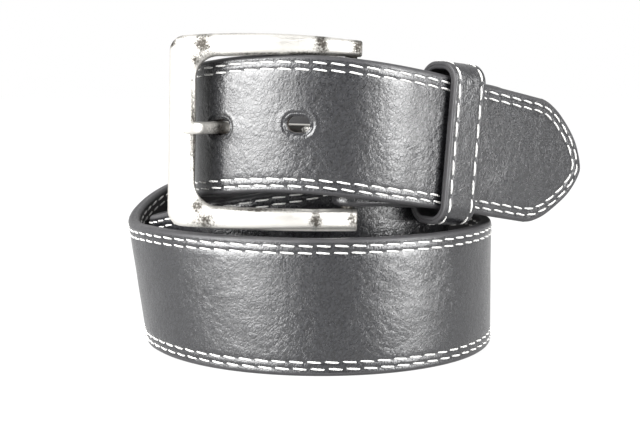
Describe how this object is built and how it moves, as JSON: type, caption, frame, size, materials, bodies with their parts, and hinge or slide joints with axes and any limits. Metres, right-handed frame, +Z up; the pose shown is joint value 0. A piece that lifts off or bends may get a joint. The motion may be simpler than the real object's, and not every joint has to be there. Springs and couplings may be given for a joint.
{
  "type": "leather belt",
  "caption": "Black grained leather dress belt with a nickel prong buckle and stitched keeper, fastened, coiled and standing on its edge.",
  "frame": {"origin": "middle of the belt's footprint, on the surface that the lower turn of the coil stands on", "axes": "+Z up, square to the surface; the buckle faces -Y and its front bar is towards -X; the tip points to +X"},
  "size_m": [0.151, 0.1216, 0.0983],
  "materials": {
    "grain_leather": "pebble-grained black leather, semi-gloss, with painted and rounded edges",
    "leather_board": "bonded leather board, its edge painted over",
    "lining_leather": "smooth black lining leather, satin",
    "white_thread": "waxed white twisted thread",
    "antique_nickel": "antique nickel plate, polished high spots with darker patina in patches",
    "brass_hardware": "plain brass, lightly dulled"
  },
  "bodies": {
    "strap": {"strap_face": "grain_leather", "strap_core": "leather_board", "strap_lining": "lining_leather", "needle_thread_outer_row": "white_thread", "needle_thread_inner_row": "white_thread", "bobbin_thread_outer_row": "white_thread", "bobbin_thread_inner_row": "white_thread", "rivet_post_lower": "brass_hardware", "rivet_post_upper": "brass_hardware", "rivet_cap_lower": "brass_hardware", "rivet_cap_upper": "brass_hardware"},
    "buckle": {"buckle_frame": "antique_nickel"},
    "prong": {"prong": "antique_nickel"},
    "keeper": {"keeper_face": "grain_leather", "keeper_lining": "lining_leather", "keeper_thread_buckle_side": "white_thread", "keeper_thread_tip_side": "white_thread", "keeper_staple": "brass_hardware"}
  },
  "joints": [
    {"name": "frame_swing", "type": "hinge", "parent": "strap", "child": "buckle", "pos_m": [-0.00329, -0.0438, 0.06894], "axis": [0.0262, 0, 0.9997], "range_deg": [-7, 0]},
    {"name": "prong_swing", "type": "hinge", "parent": "strap", "child": "prong", "pos_m": [-0.00329, -0.0438, 0.06894], "axis": [0.0262, 0, 0.9997], "range_deg": [0, 2]},
    {"name": "keeper_slide", "type": "slide", "parent": "strap", "child": "keeper", "axis": [0.789, 0.5942, -0.1564], "range_m": [-0.004, 0.002]}
  ]
}
